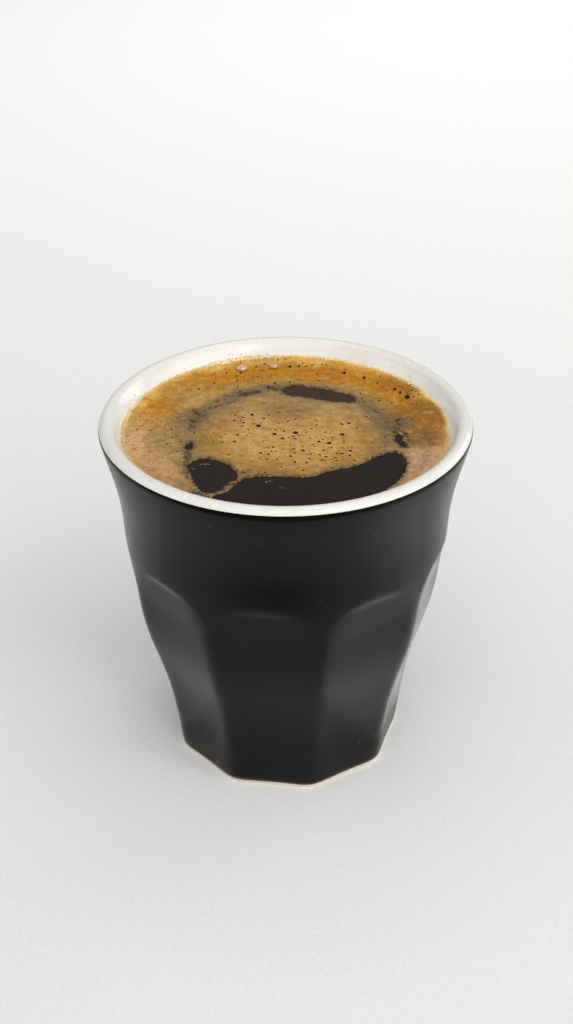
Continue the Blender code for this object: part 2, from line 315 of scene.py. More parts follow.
def select_points(piece, wanted):
    """Selects the points for which wanted(place) is true, and what lies between them."""
    bpy.ops.mesh.select_mode(type="VERT")
    bpy.ops.mesh.select_all(action="DESELECT")
    mesh = bmesh.from_edit_mesh(piece.data)
    for point in mesh.verts:
        point.select_set(bool(wanted(point.co)))
    mesh.select_flush(True)
    bmesh.update_edit_mesh(piece.data)


def select_edges(piece, wanted):
    """Selects the edges for which wanted(edge) is true."""
    bpy.ops.mesh.select_all(action="DESELECT")
    bpy.ops.mesh.select_mode(type="EDGE")
    mesh = bmesh.from_edit_mesh(piece.data)
    for edge in mesh.edges:
        edge.select_set(bool(wanted(edge)))
    bmesh.update_edit_mesh(piece.data)


def selected_ring(piece):
    """Mean radius and height of the selected ring of points."""
    mesh = bmesh.from_edit_mesh(piece.data)
    places = [point.co for point in mesh.verts if point.select]
    radius = sum(math.hypot(place.x, place.y) for place in places) / len(places)
    return radius, sum(place.z for place in places) / len(places)


def widen(ratio):
    """Resizes what is selected about the axis, its height kept."""
    bpy.ops.transform.resize(value=(ratio, ratio, 1), center_override=(0, 0, 0))


def draw_ring(piece, radius, height):
    """Extrudes the selected ring to a height and resizes it to a mean radius."""
    old_radius, old_height = selected_ring(piece)
    bpy.ops.mesh.extrude_region_move(
        TRANSFORM_OT_translate={"value": (0, 0, height - old_height)}
    )
    widen(radius / old_radius)


def close_ring():
    """Fills the selected ring with one face."""
    bpy.ops.mesh.edge_face_add()


def ring_of_points(name, columns, radius, height):
    """A level ring of points round the axis, the start of a piece that is drawn from it."""
    bpy.ops.mesh.primitive_circle_add(vertices=columns, radius=radius, location=(0, 0, height))
    piece = bpy.context.object
    piece.name = name
    set_in_place(piece)
    return piece


def from_panel_middle(place):
    """Angle of a point from the middle line of the nearest panel, one of which faces -Y."""
    panel = 2 * math.pi / PANELS
    azimuth = math.atan2(place.x, -place.y)
    return abs((azimuth + panel / 2) % panel - panel / 2)


def widen_columns(form, height, ratio_at):
    """Widens a ring of the panels by a ratio that depends on the angle from a panel's middle."""
    for column in range(1, CAGE_COLUMNS_PER_PANEL // 2 + 1):
        offset = 2 * math.pi / PANELS * column / CAGE_COLUMNS_PER_PANEL
        select_points(
            form,
            lambda place: abs(place.z - height) < NEAR
            and abs(from_panel_middle(place) - offset) < NEAR_ANGLE,
        )
        widen(ratio_at(offset))


def panelled_form():
    """The nine flat panels as one open tube, its first ring shaped and then drawn up."""
    columns = PANELS * CAGE_COLUMNS_PER_PANEL
    start, first = (measure * MM for measure in PANEL_CAGE[0])
    form = ring_of_points("panelled_form", columns, first, start)
    half_panel = math.pi / PANELS

    def flattened(offset):
        hollow = PANEL_HOLLOW / first * (math.tan(offset) / math.tan(half_panel)) ** 2
        return (1 + hollow) / math.cos(offset)

    start_editing(form)
    widen_columns(form, start, flattened)
    bpy.ops.mesh.select_all(action="SELECT")
    spread = selected_ring(form)[0] / first
    for height, distance in PANEL_CAGE[1:]:
        draw_ring(form, distance * MM * spread, height * MM)
    round_panels(form)
    select_points(
        form,
        lambda place: place.z < FOOT_CORNER_HEIGHT
        and from_panel_middle(place) > half_panel - NEAR_ANGLE,
    )
    widen(FOOT_CORNER_PULL)
    stop_editing()
    return form


def round_panels(form):
    """Turns the flat panels rounder towards the top, where their arches end."""
    for height, _ in PANEL_CAGE:
        flatness = np.interp(height, (ROUNDER_FROM, ROUNDER_TO), (1, ROUNDER_FLATNESS))

        def rounded(offset):
            rounding = (1 - flatness) * (offset * PANELS / math.pi) ** RIDGE_SHARPNESS
            return (1 + (1 - rounding) * (1 / math.cos(offset) - 1)) * math.cos(offset)

        widen_columns(form, height * MM, rounded)


def round_form():
    """The round body, drawn up ring by ring."""
    columns = PANELS * CAGE_COLUMNS_PER_PANEL
    form = ring_of_points("round_form", columns, BODY_CAGE[0] * MM, BODY_CAGE_START)
    start_editing(form)
    bpy.ops.mesh.select_all(action="SELECT")
    for ring, radius in enumerate(BODY_CAGE[1:], 1):
        draw_ring(form, radius * MM, BODY_CAGE_START + BODY_CAGE_STEP * ring)
    stop_editing()
    return form


def joined(pieces):
    """The pieces as one, under the first one's name."""
    make_active(pieces[0])
    for piece in pieces[1:]:
        piece.select_set(True)
    bpy.ops.object.join()
    return pieces[0]


def fine_tube():
    """A narrow tube of even rows, ready to be pushed out to the drawn forms."""
    depth = WALL_TOP - WALL_BOTTOM
    bpy.ops.mesh.primitive_cylinder_add(
        vertices=WALL_COLUMNS,
        radius=WALL_START_RADIUS,
        depth=depth,
        end_fill_type="NOTHING",
        location=(0, 0, WALL_BOTTOM + depth / 2),
    )
    tube = bpy.context.object
    tube.name = "glazed_tumbler"
    set_in_place(tube)
    start_editing(tube)
    select_edges(tube, lambda edge: abs(edge.verts[0].co.z - edge.verts[1].co.z) > NEAR)
    bpy.ops.mesh.subdivide(number_cuts=WALL_ROWS - 1)
    stop_editing()
    return tube


def point_group(piece, name, wanted):
    """A group of the points for which wanted(place) is true, for a modifier to act on."""
    group = piece.vertex_groups.new(name=name)
    group.add([point.index for point in piece.data.vertices if wanted(point.co)], 1.0, "REPLACE")
    return name


def draw_lip(tumbler):
    """The rounded lip, over the top and down to the inside wall."""
    for height, radius in BELOW_LIP:
        draw_ring(tumbler, radius * MM, height * MM)
    middle_radius = RIM_RADIUS - LIP_HALF_THICKNESS
    middle_height = HEIGHT - LIP_HALF_THICKNESS
    for step in range(LIP_STEPS + 1):
        angle = LIP_SWEEP * step / LIP_STEPS
        draw_ring(
            tumbler,
            middle_radius + LIP_HALF_THICKNESS * math.cos(angle),
            middle_height + LIP_HALF_THICKNESS * math.sin(angle),
        )


def draw_inside(piece, growth=0.0):
    """The tumbler's inside wall, its rounded corner and its floor, below the ring drawn last."""
    start = selected_ring(piece)[1]
    for height, radius in CAVITY:
        if height * MM < start:
            draw_ring(piece, radius * MM + growth, height * MM)
    corner = CAVITY[-1][1] * MM - FLOOR_ROUNDING
    for step in range(1, FLOOR_STEPS + 1):
        angle = math.pi / 2 * step / FLOOR_STEPS
        draw_ring(
            piece,
            corner + FLOOR_ROUNDING * math.cos(angle) + growth,
            FLOOR_HEIGHT + FLOOR_ROUNDING * (1 - math.sin(angle)) - growth,
        )
    close_ring()


def draw_foot(tumbler):
    """The rounded edge of the foot, its flat ring and the shallow hollow under it."""
    foot_radius = selected_ring(tumbler)[0]
    for height, inset in FOOT_ROUNDING:
        draw_ring(tumbler, foot_radius - inset * MM, height * MM)
    draw_ring(tumbler, FOOT_RING_INNER, 0)
    draw_ring(tumbler, FOOT_RING_INNER - FOOT_HOLLOW_SLOPE, FOOT_HOLLOW_DEPTH)
    close_ring()


def glaze_line_height():
    """Height on the outside of the lip up to which the black glaze reaches."""
    angle = LIP_SWEEP * GLAZE_LINE_STEP / LIP_STEPS
    return HEIGHT - LIP_HALF_THICKNESS + LIP_HALF_THICKNESS * math.sin(angle)


def give_finishes(tumbler, outside, inside, foot):
    """Black outside up to the glaze line, white from there inwards, bare clay at the foot."""
    for finish in (outside, inside, foot):
        tumbler.data.materials.append(finish)
    line = glaze_line_height()
    middle_radius = RIM_RADIUS - LIP_HALF_THICKNESS
    for face in tumbler.data.polygons:
        height = face.center.z
        radius = math.hypot(face.center.x, face.center.y)
        in_hollow = height < FLOOR_HEIGHT - MM and radius < FOOT_RING_INNER
        downward = face.normal.z < FACES_DOWN
        inside_wall = radius < middle_radius and not downward and not outward(face)
        if height < CLAY_LINE or in_hollow:
            face.material_index = 2
        elif height > line or inside_wall:
            face.material_index = 1


def outward(face):
    """Whether a face looks away from the axis."""
    return face.center.x * face.normal.x + face.center.y * face.normal.y > 0


def glazed_tumbler(outside, inside, foot):
    """The wall is a fine tube pushed out to the drawn forms and softened like thick glaze."""
    forms = [panelled_form(), round_form()]
    for form in forms:
        apply_modifier(form, "SUBSURF", levels=FORM_SMOOTHNESS, render_levels=FORM_SMOOTHNESS)
    forms = joined(forms)
    tumbler = fine_tube()
    apply_modifier(
        tumbler,
        "SHRINKWRAP",
        target=forms,
        wrap_method="PROJECT",
        use_positive_direction=True,
        use_negative_direction=False,
    )
    bpy.data.objects.remove(forms, do_unlink=True)
    softened = point_group(
        tumbler, "softened", lambda place: SOFTENED_FROM < place.z < SOFTENED_TO
    )
    apply_modifier(tumbler, "SMOOTH", factor=0.5, iterations=SOFTENING, vertex_group=softened)
    start_editing(tumbler)
    select_points(tumbler, lambda place: place.z > WALL_TOP - NEAR)
    draw_lip(tumbler)
    draw_inside(tumbler)
    select_points(
        tumbler,
        lambda place: place.z < WALL_BOTTOM + NEAR
        and math.hypot(place.x, place.y) > FOOT_RING_INNER,
    )
    draw_foot(tumbler)
    stop_editing()
    close_piece(tumbler)
    give_finishes(tumbler, outside, inside, foot)
    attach(tumbler, "root")
    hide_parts("cup")


def cavity_radius(height):
    """Radius of the tumbler's inside wall at a height."""
    lip_end = (
        (HEIGHT - LIP_HALF_THICKNESS * (1 - math.sin(LIP_SWEEP))) / MM,
        (RIM_RADIUS - LIP_HALF_THICKNESS * (1 - math.cos(LIP_SWEEP))) / MM,
    )
    heights, radii = zip(*reversed((lip_end, *CAVITY)))
    return float(np.interp(height / MM, heights, radii)) * MM


def close_piece(piece):
    """Turns every face outward and shades the piece smooth."""
    start_editing(piece)
    bpy.ops.mesh.select_all(action="SELECT")
    bpy.ops.mesh.normals_make_consistent(inside=False)
    stop_editing()
    piece.data.shade_smooth()


def coffee_body(finish):
    """The coffee, level at its top, just into the wall all round."""
    coffee = ring_of_points(
        "black_coffee", COFFEE_COLUMNS, cavity_radius(COFFEE_TOP) + INTO_WALL, COFFEE_TOP
    )
    start_editing(coffee)
    bpy.ops.mesh.select_all(action="SELECT")
    draw_inside(coffee, INTO_WALL)
    select_points(coffee, lambda place: place.z > COFFEE_TOP - NEAR)
    close_ring()
    for _ in range(2):
        bpy.ops.mesh.inset(thickness=COFFEE_BORDER)
    stop_editing()
    close_piece(coffee)
    coffee.data.materials.append(finish)
    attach(coffee, "root")
    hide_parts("coffee")


def opening_cutter(corners):
    """A block with a smooth outline through an opening's corners, taller than the crema."""
    outline = bpy.data.curves.new("opening", "CURVE")
    outline.dimensions = "2D"
    outline.fill_mode = "BOTH"
    outline.resolution_u = OPENING_STEPS
    outline.extrude = CUTTER_HALF_HEIGHT
    spline = outline.splines.new("BEZIER")
    spline.bezier_points.add(len(corners) - 1)
    spline.use_cyclic_u = True
    for point, (x, y) in zip(spline.bezier_points, corners):
        point.co = (x * MM, y * MM, 0)
        point.handle_left_type = "AUTO"
        point.handle_right_type = "AUTO"
    cutter = bpy.data.objects.new("opening", outline)
    bpy.context.scene.collection.objects.link(cutter)
    cutter.location = (0, 0, CREMA_TOP)
    make_active(cutter)
    bpy.ops.object.convert(target="MESH")
    set_in_place(cutter)
    start_editing(cutter)
    bpy.ops.mesh.select_all(action="SELECT")
    bpy.ops.mesh.remove_doubles(threshold=SAME_POINT)
    stop_editing()
    close_piece(cutter)
    push_by_clouds(cutter, RAGGED_LUMP, RAGGEDNESS)
    return cutter


def push_by_clouds(piece, lump, strength, **settings):
    """Pushes a piece's surface in and out in soft lumps."""
    clouds = bpy.data.textures.new("clouds", "CLOUDS")
    clouds.noise_scale = lump
    settings.update(texture=clouds, texture_coords="LOCAL", strength=strength)
    apply_modifier(piece, "DISPLACE", **settings)


def cut_away(piece, cutter):
    """Cuts another piece's form out of a piece, and takes that other piece away."""
    apply_modifier(piece, "BOOLEAN", operation="DIFFERENCE", solver="EXACT", object=cutter)
    bpy.data.objects.remove(cutter, do_unlink=True)


def crema_disc():
    """The layer of froth, its edge climbing the wall a little, cut through at the openings."""
    low = CREMA_EDGE[0][0] * MM
    disc = ring_of_points("golden_crema", CREMA_COLUMNS, cavity_radius(low) + INTO_WALL, low)
    start_editing(disc)
    bpy.ops.mesh.select_all(action="SELECT")
    for height, beyond in CREMA_EDGE[1:]:
        draw_ring(disc, cavity_radius(height * MM) + beyond * MM, height * MM)
    close_ring()
    select_points(disc, lambda place: place.z < low + NEAR)
    close_ring()
    stop_editing()
    close_piece(disc)
    openings = [FRONT_POOL, LEFT_POOL, BACK_SLIT, LEFT_SPOT, RIGHT_SPOT]
    cut_away(disc, joined([opening_cutter(corners) for corners in openings]))
    return disc


def swell_froth(disc):
    """Even small faces over the whole layer, swollen and softened as froth is."""
    apply_modifier(disc, "REMESH", mode="VOXEL", voxel_size=FROTH_CELL, use_smooth_shade=True)
    inner = cavity_radius(CREMA_TOP) - HELD_AT_WALL
    free = point_group(disc, "free", lambda place: math.hypot(place.x, place.y) < inner)
    push_by_clouds(disc, FROTH_LUMP, FROTH_SWELL, vertex_group=free)
    apply_modifier(disc, "SMOOTH", factor=0.5, iterations=FROTH_SOFTENING, vertex_group=free)
    thin_out_underside(disc)


def thin_out_underside(disc):
    """The small faces under the froth, which nothing shows, merge into fewer large ones."""
    low = CREMA_EDGE[0][0] * MM
    under = point_group(disc, "under", lambda place: place.z < low + UNDERSIDE_DEPTH)
    apply_modifier(disc, "DECIMATE", ratio=UNDERSIDE_KEPT, vertex_group=under)


def pit_places(disc):
    """Where the popped bubbles are and how wide: the large ones as seen, the small ones strewn."""
    places = list(PITS)
    strewn = random.Random(RANDOM_SEED)
    for count, middle, spread, widths in STREWN_PITS:
        for _ in range(count):
            x = strewn.gauss(middle[0], spread)
            y = strewn.gauss(middle[1], spread)
            width = strewn.uniform(*widths)
            clear = all(
                math.hypot(x - a, y - b) > (width + c) / 2 + PIT_SPACING for a, b, c in places
            )
            if clear and math.hypot(x, y) < STREWN_WITHIN:
                places.append((x, y, width))
    return [found for found in (on_froth(disc, *place) for place in places) if found]


def on_froth(disc, x, y, width):
    """A pit's place on the froth and its width, or nothing where an opening leaves no froth."""
    above = 5 * MM
    start = Vector((x * MM, y * MM, CREMA_TOP + above))
    hit, place, normal, _ = disc.ray_cast(start, Vector((0, 0, -1)), distance=above + MM)
    if hit and normal.z > PIT_LEVEL_ENOUGH and place.z > COFFEE_TOP + NEAR:
        return place, width * MM
    return None


def balls(smoothness, places):
    """A ball at each place, of its size along each axis, all as one piece."""
    bpy.ops.mesh.primitive_ico_sphere_add(subdivisions=smoothness, radius=0.5, location=(0, 0, 0))
    ball = bpy.context.object
    copies = []
    for place, size in places:
        copy = ball.copy()
        copy.data = ball.data.copy()
        bpy.context.scene.collection.objects.link(copy)
        copy.location = place
        copy.scale = size
        copies.append(copy)
    bpy.data.objects.remove(ball, do_unlink=True)
    piece = joined(copies)
    set_in_place(piece)
    return piece


def pop_bubbles(disc):
    """Popped bubbles: a slightly raised rim round each, and a round pit cut into the froth."""
    bpy.context.view_layer.update()
    places = pit_places(disc)
    raise_rims(disc, places)
    pits = [(place, (width, width * pit_stretch(place), width)) for place, width in places]
    cut_away(disc, balls(2, pits))
    return places


def pit_stretch(place):
    """How many times longer than wide a pit is, as seen from above."""
    return SLOPED_STRETCH if place.y > SLOPED_FROM else 1


def search_tree(places):
    """A search for whichever of the places is nearest."""
    tree = KDTree(len(places))
    for index, place in enumerate(places):
        tree.insert(place, index)
    tree.balance()
    return tree


def nearest_pit(places):
    """A search for the pit nearest to a place, which gives its distance and the pit's width."""
    tree = search_tree([place for place, _ in places])

    def search(place):
        middle, index, _ = tree.find(place)
        offset = Vector(place) - middle
        offset.y /= pit_stretch(middle)
        return offset.length, places[index][1]

    return search


def raise_rims(disc, places):
    """Lifts the froth a little round each popped bubble."""
    search = nearest_pit(places)

    def on_rim(place):
        distance, width = search(place)
        return distance < width / 2 + PIT_RIM_WIDTH and place.z > COFFEE_TOP

    rims = point_group(disc, "rims", on_rim)
    apply_modifier(
        disc, "DISPLACE", strength=PIT_RIM_HEIGHT, mid_level=0.0, direction="Z", vertex_group=rims
    )


def mark_pits(disc, places):
    """Gives the inside of each pit the second finish."""
    search = nearest_pit(places)
    for face in disc.data.polygons:
        distance, width = search(face.center)
        face.material_index = int(distance < PIT_INSIDE * width)


def level_places(piece):
    """The points' places in the level plane."""
    places = np.empty(len(piece.data.vertices) * 3)
    piece.data.vertices.foreach_get("co", places)
    return places.reshape(-1, 3)[:, :2]


def keep_on_points(piece, name, values):
    """Keeps a value on each point, for a material to read."""
    piece.data.attributes.new(name, "FLOAT", "POINT").data.foreach_set("value", values)


def paint_thin_froth(disc):
    """Keeps on each point how thin the froth is there."""
    places = level_places(disc) / MM
    thin = np.zeros(len(places))
    for start, end, half_width, strength in THIN_FROTH:
        start = np.array(start)
        along = np.array(end) - start
        part = np.clip((places - start) @ along / (along @ along), 0, 1)
        away = np.linalg.norm(places - start - part[:, None] * along, axis=1)
        thin = np.maximum(thin, strength * np.exp(-((away / half_width) ** 2)))
    ring = np.linalg.norm(places - np.array(THIN_RING_MIDDLE), axis=1) - THIN_RING_RADIUS
    strength = THIN_RING_STRENGTH * np.interp(places[:, 1], THIN_RING_FADE, (0, 1))
    thin = np.maximum(thin, strength * np.exp(-((ring / THIN_RING_HALF_WIDTH) ** 2)))
    keep_on_points(disc, "thin", thin)


def opening_edges(disc):
    """A search among the points of the froth's walls round the openings."""
    inner = cavity_radius(CREMA_TOP) - HELD_AT_WALL
    places = [point.co.copy() for point in disc.data.vertices]
    return search_tree(
        [place for place in places if place.z < COFFEE_TOP and math.hypot(place.x, place.y) < inner]
    )


def thin_the_edges(disc, edges):
    """Froth thins out towards the openings."""
    thin = disc.data.attributes["thin"].data
    for point, kept in zip(disc.data.vertices, thin):
        away = edges.find(point.co)[2]
        kept.value = max(kept.value, EDGE_THINNESS * math.exp(-((away / EDGE_REACH) ** 2)))


def paint_rim_highlights(disc, places):
    """Keeps on each point how much painted highlight it takes on the light side of a large pit's
    rim.
    """
    points = level_places(disc)
    # How much painted highlight each point takes
    pale = np.zeros(len(points))
    for place, width in places:
        if width < RIM_HIGHLIGHT_FROM:
            continue
        away = points - np.array(place[:2])
        distance = np.linalg.norm(away, axis=1)
        off_ring = distance - width / 2 - RIM_HIGHLIGHT_OUTSIDE
        ring = np.exp(-((off_ring / RIM_HIGHLIGHT_HALF_WIDTH) ** 2))
        side = away @ np.array(RIM_HIGHLIGHT_SIDE) / np.maximum(distance, SAME_POINT)
        lit = RIM_HIGHLIGHT_ALL_ROUND + (1 - RIM_HIGHLIGHT_ALL_ROUND) * side
        pale = np.maximum(pale, ring * np.clip(lit, 0, 1))
    keep_on_points(disc, "painted_rim_highlight", pale)


def crema_layer(froth, pit):
    """The crema: a cut disc, swollen into froth, with its popped bubbles and its thin places."""
    crema = crema_disc()
    swell_froth(crema)
    edges = opening_edges(crema)
    places = pop_bubbles(crema)
    paint_thin_froth(crema)
    thin_the_edges(crema, edges)
    paint_rim_highlights(crema, places)
    crema.data.shade_smooth()
    crema.data.materials.clear()
    crema.data.materials.append(froth)
    crema.data.materials.append(pit)
    mark_pits(crema, places)
    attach(crema, "root")
    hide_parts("crema")


def beads(name, places, height, smoothness, finish):
    """A rounded bead at each place, of its width and a share of that in height, as one piece."""
    piece = balls(smoothness, [(place, (width, width, width * height)) for place, width in places])
    piece.name = name
    piece.data.shade_smooth()
    piece.data.materials.append(finish)
    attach(piece, "root")


def at_wall(angle, height, sunk=0.0):
    """A place on the inside wall at an angle in degrees from +X and a height."""
    radius = cavity_radius(height) - sunk
    turn = math.radians(angle)
    return Vector((radius * math.cos(turn), radius * math.sin(turn), height))


def wall_bubbles(finish):
    """Whole bubbles that the crema pushed up along the wall."""
    strewn = random.Random(RANDOM_SEED)
    places = []
    for count, angle, spread, widths in WALL_BUBBLES:
        for _ in range(count):
            width = strewn.uniform(*widths) * MM
            inward = abs(strewn.gauss(0, WALL_BUBBLE_SPREAD)) + width * WALL_BUBBLE_INSET
            climbed = abs(strewn.gauss(0, WALL_BUBBLE_CLIMB)) if inward < width else 0
            height = CREMA_TOP + WALL_BUBBLE_LIFT + climbed
            places.append((at_wall(strewn.gauss(angle, spread), height, inward), width))
    beads("wall_bubbles", places, BUBBLE_HEIGHT, 1, finish)


def large_bubbles(finish):
    """The two bubbles at the back that have not popped, sunk a little in the froth."""
    places = [
        (Vector((x * MM, y * MM, CREMA_TOP + DOME_SUNK * MM)), width * MM) for x, y, width in DOMES
    ]
    beads("large_bubbles", places, BUBBLE_HEIGHT, 4, finish)


def foam_flecks(finish):
    """Small rafts of foam afloat in the pools, each of a few bubbles."""
    strewn = random.Random(RANDOM_SEED)
    places = []
    for x, y, width in FLECKS:
        for _ in range(FLECK_BUBBLES):
            place = Vector((
                strewn.gauss(x, FLECK_SPREAD[0]) * MM,
                strewn.gauss(y, FLECK_SPREAD[1]) * MM,
                COFFEE_TOP + FLECK_LIFT,
            ))
            places.append((place, width * strewn.uniform(0.5, 1.0) * MM))
    beads("foam_flecks", places, FLECK_HEIGHT, 1, finish)


def wall_specks(finish):
    """Specks of froth that dried on the white wall."""
    strewn = random.Random(RANDOM_SEED)
    places = []
    for count, angle, spread in WALL_SPECKS:
        for _ in range(count):
            height = strewn.uniform(*SPECK_HEIGHTS) * MM
            place = at_wall(strewn.gauss(angle, spread), height)
            places.append((place, strewn.uniform(*SPECK_WIDTHS) * MM))
    beads("wall_specks", places, BUBBLE_HEIGHT, 1, finish)


def linear(value):
    """One sRGB channel from 0 to 1, turned linear."""
    return value / 12.92 if value <= 0.04045 else ((value + 0.055) / 1.055) ** 2.4


def colour(code):
    """A colour for a socket from its sRGB hex code."""
    channels = [int(code[start : start + 2], 16) / 255 for start in (1, 3, 5)]
    return (*(linear(channel) for channel in channels), 1.0)


def set_inputs(finish, node, inputs):
    """Links each named input of a node to a socket, or sets it to a value."""
    for name, source in inputs.items():
        if isinstance(source, bpy.types.NodeSocket):
            finish.node_tree.links.new(source, node.inputs[name])
        else:
            node.inputs[name].default_value = source


def add_node(finish, kind, inputs, **properties):
    """Adds a node with its properties, values and links."""
    node = finish.node_tree.nodes.new(kind)
    for name, value in properties.items():
        setattr(node, name, value)
    set_inputs(finish, node, inputs)
    return node


def new_finish(name):
    """A material, and the coordinates of the piece that wears it."""
    finish = bpy.data.materials.new(name)
    finish.use_nodes = True
    return finish, add_node(finish, "ShaderNodeTexCoord", {}).outputs["Object"]


def shaded(finish, inputs):
    """The material, once its shader has its values and links."""
    set_inputs(finish, finish.node_tree.nodes["Principled BSDF"], inputs)
    return finish


def noise(finish, place, scale, detail=2.0):
    """Cloudy values around 0.5, with so many lumps to the metre."""
    inputs = {"Vector": place, "Scale": scale, "Detail": detail}
    return add_node(finish, "ShaderNodeTexNoise", inputs).outputs[0]


def cells(finish, place, scale):
    """Round cells, with so many to the metre."""
    return add_node(finish, "ShaderNodeTexVoronoi", {"Vector": place, "Scale": scale})


def axis(finish, vector, letter):
    """One axis of a place, or one channel of a colour."""
    return add_node(finish, "ShaderNodeSeparateXYZ", {"Vector": vector}).outputs[letter]


def wavered(finish, value, waver, amount):
    """A value with a noise added to it by an amount."""
    inputs = {0: waver, 1: amount, 2: value}
    return add_node(finish, "ShaderNodeMath", inputs, operation="MULTIPLY_ADD").outputs[0]


def vector_math(finish, operation, inputs):
    """The result of one operation on vectors."""
    return add_node(finish, "ShaderNodeVectorMath", inputs, operation=operation).outputs[0]


def spread_over(finish, waver, low, high):
    """A noise spread over the values from a low one to a high one."""
    inputs = {"Value": waver, "From Min": 0.3, "From Max": 0.7, "To Min": low, "To Max": high}
    return add_node(finish, "ShaderNodeMapRange", inputs).outputs["Result"]


def soft_step(finish, value, start, end, most=1.0):
    """Rises smoothly from 0 at one value to the most at another."""
    inputs = {"Value": value, "From Min": start, "From Max": end, "To Max": most}
    node = add_node(finish, "ShaderNodeMapRange", inputs, interpolation_type="SMOOTHSTEP")
    return node.outputs["Result"]


def bumped(finish, height, strength, depth):
    """A surface direction that follows a height, its depth in metres."""
    inputs = {"Height": height, "Strength": strength, "Distance": depth}
    return add_node(finish, "ShaderNodeBump", inputs).outputs[0]


def ramp(finish, part, stops, reach=1.0):
    """The colour along a row of stops, each a distance out of the whole reach and a colour."""
    node = add_node(finish, "ShaderNodeValToRGB", {"Fac": part})
    stops_made = node.color_ramp.elements
    while len(stops_made) < len(stops):
        stops_made.new(0.5)
    for made, (distance, code) in zip(stops_made, stops):
        made.position = distance / reach
        made.color = colour(code)
    return node.outputs["Color"]


def mixed(finish, amount, first, second):
    """The first colour, with the second laid over it by an amount."""
    inputs = {"Factor": amount, 6: first, 7: second}
    return add_node(finish, "ShaderNodeMix", inputs, data_type="RGBA").outputs[2]


def patchy(name, scale, codes, inputs):
    """A finish in patches of two colours, with so many patches to the metre."""
    finish, place = new_finish(name)
    patches = noise(finish, place, scale)
    shade = ramp(finish, patches, tuple(zip((0.35, 0.65), codes)))
    return shaded(finish, {"Base Color": shade, **inputs})


def black_glaze():
    """Thick satin glaze: softly glossy, with a faint peel, rare pale specks and a brown edge."""
    finish, place = new_finish("satin black stoneware glaze, dipped and fired")
    clouds = noise(finish, place, 90, 5)
    black = ramp(finish, clouds, ((0.3, "#0b0b0b"), (0.7, "#100f0e")))
    # Iron specks of 0.2 mm, drawn at 0.5 mm so that they show
    specks = cells(finish, place, 170).outputs["Distance"]
    speck = soft_step(finish, specks, 0.06, 0.02, 0.45)
    black = mixed(finish, speck, black, colour("#6a6156"))
    # The glaze runs thin and brown for a millimetre above the bare clay
    ragged = wavered(finish, axis(finish, place, "Z"), clouds, 1.2 * MM)
    thin = soft_step(finish, ragged, 2.5 * MM, 1.3 * MM, 0.9)
    black = mixed(finish, thin, black, colour("#5a3f28"))
    peel = noise(finish, place, 420)
    inputs = {
        "Base Color": black,
        "Roughness": spread_over(finish, clouds, 0.22, 0.28),
        "Normal": bumped(finish, peel, 0.15, 0.1 * MM),
        "Specular IOR Level": 0.15,
    }
    return shaded(finish, inputs)


def white_glaze():
    """Glossy liner glaze, a little uneven, with painted shade: its white is a touch darker and
    warmer on the lip, which takes more light than the inside wall.
    """
    finish, place = new_finish("gloss white liner glaze")
    clouds = noise(finish, place, 120, 4)
    white = ramp(finish, clouds, ((0.3, "#e0e2df"), (0.7, "#d9dad6")))
    mottle = noise(finish, place, 1100, 3)
    # The lip's darker white is painted shade, and the inside wall's lighter white is painted light
    lip_white_painted_shade = ramp(finish, mottle, ((0.35, "#d5d4ce"), (0.65, "#dcdbd5")))
    lip = soft_step(finish, axis(finish, place, "Z"), 85.2 * MM, 86.6 * MM)
    inputs = {
        "Base Color": mixed(finish, lip, white, lip_white_painted_shade),
        "Roughness": spread_over(finish, clouds, 0.1, 0.2),
        "Normal": bumped(finish, noise(finish, place, 300), 0.2, 0.1 * MM),
    }
    return shaded(finish, inputs)


def bare_clay():
    """Wiped, unglazed foot: matt cream clay with a fine sandy grain."""
    finish, place = new_finish("bare stoneware clay, wiped and fired")
    # Sand of 0.2 mm, drawn at 0.5 mm so that it shows
    grain = noise(finish, place, 1800, 4)
    clay = ramp(finish, grain, ((0.3, "#c9bcab"), (0.5, "#dfd5c7"), (0.7, "#e9e2d6")))
    bump = bumped(finish, grain, 0.4, 0.08 * MM)
    return shaded(finish, {"Base Color": clay, "Normal": bump, "Roughness": 0.9})


def brewed_coffee():
    """Clear dark liquid: near black and mirror smooth, browner in the slit at the back."""
    finish, place = new_finish("black coffee, freshly brewed")
    oil = noise(finish, place, 220, 4)
    brew = ramp(finish, oil, ((0.35, "#120c09"), (0.7, "#1a110c")))
    backness = soft_step(finish, axis(finish, place, "Y"), 0, 14 * MM)
    brew = mixed(finish, backness, brew, colour("#31221a"))
    leftness = soft_step(finish, axis(finish, place, "X"), -6 * MM, -11 * MM, 0.7)
    inputs = {
        "Base Color": mixed(finish, leftness, brew, colour("#1d0f0c")),
        "Normal": bumped(finish, noise(finish, place, 130), 0.25, 0.1 * MM),
        "Roughness": 0.05,
        "IOR": WATERY_IOR,
    }
    return shaded(finish, inputs)


def distance_from(finish, place, middle, waver, amount):
    """Distance from a middle in the level plane, made to waver, and the offset from there."""
    shift = (-middle[0] * MM, -middle[1] * MM, 0)
    inputs = {"Vector": place, "Location": shift, "Scale": (1, 1, 0)}
    offset = add_node(finish, "ShaderNodeMapping", inputs).outputs[0]
    length = add_node(finish, "ShaderNodeVectorMath", {0: offset}, operation="LENGTH")
    return wavered(finish, length.outputs["Value"], waver, amount * MM), offset


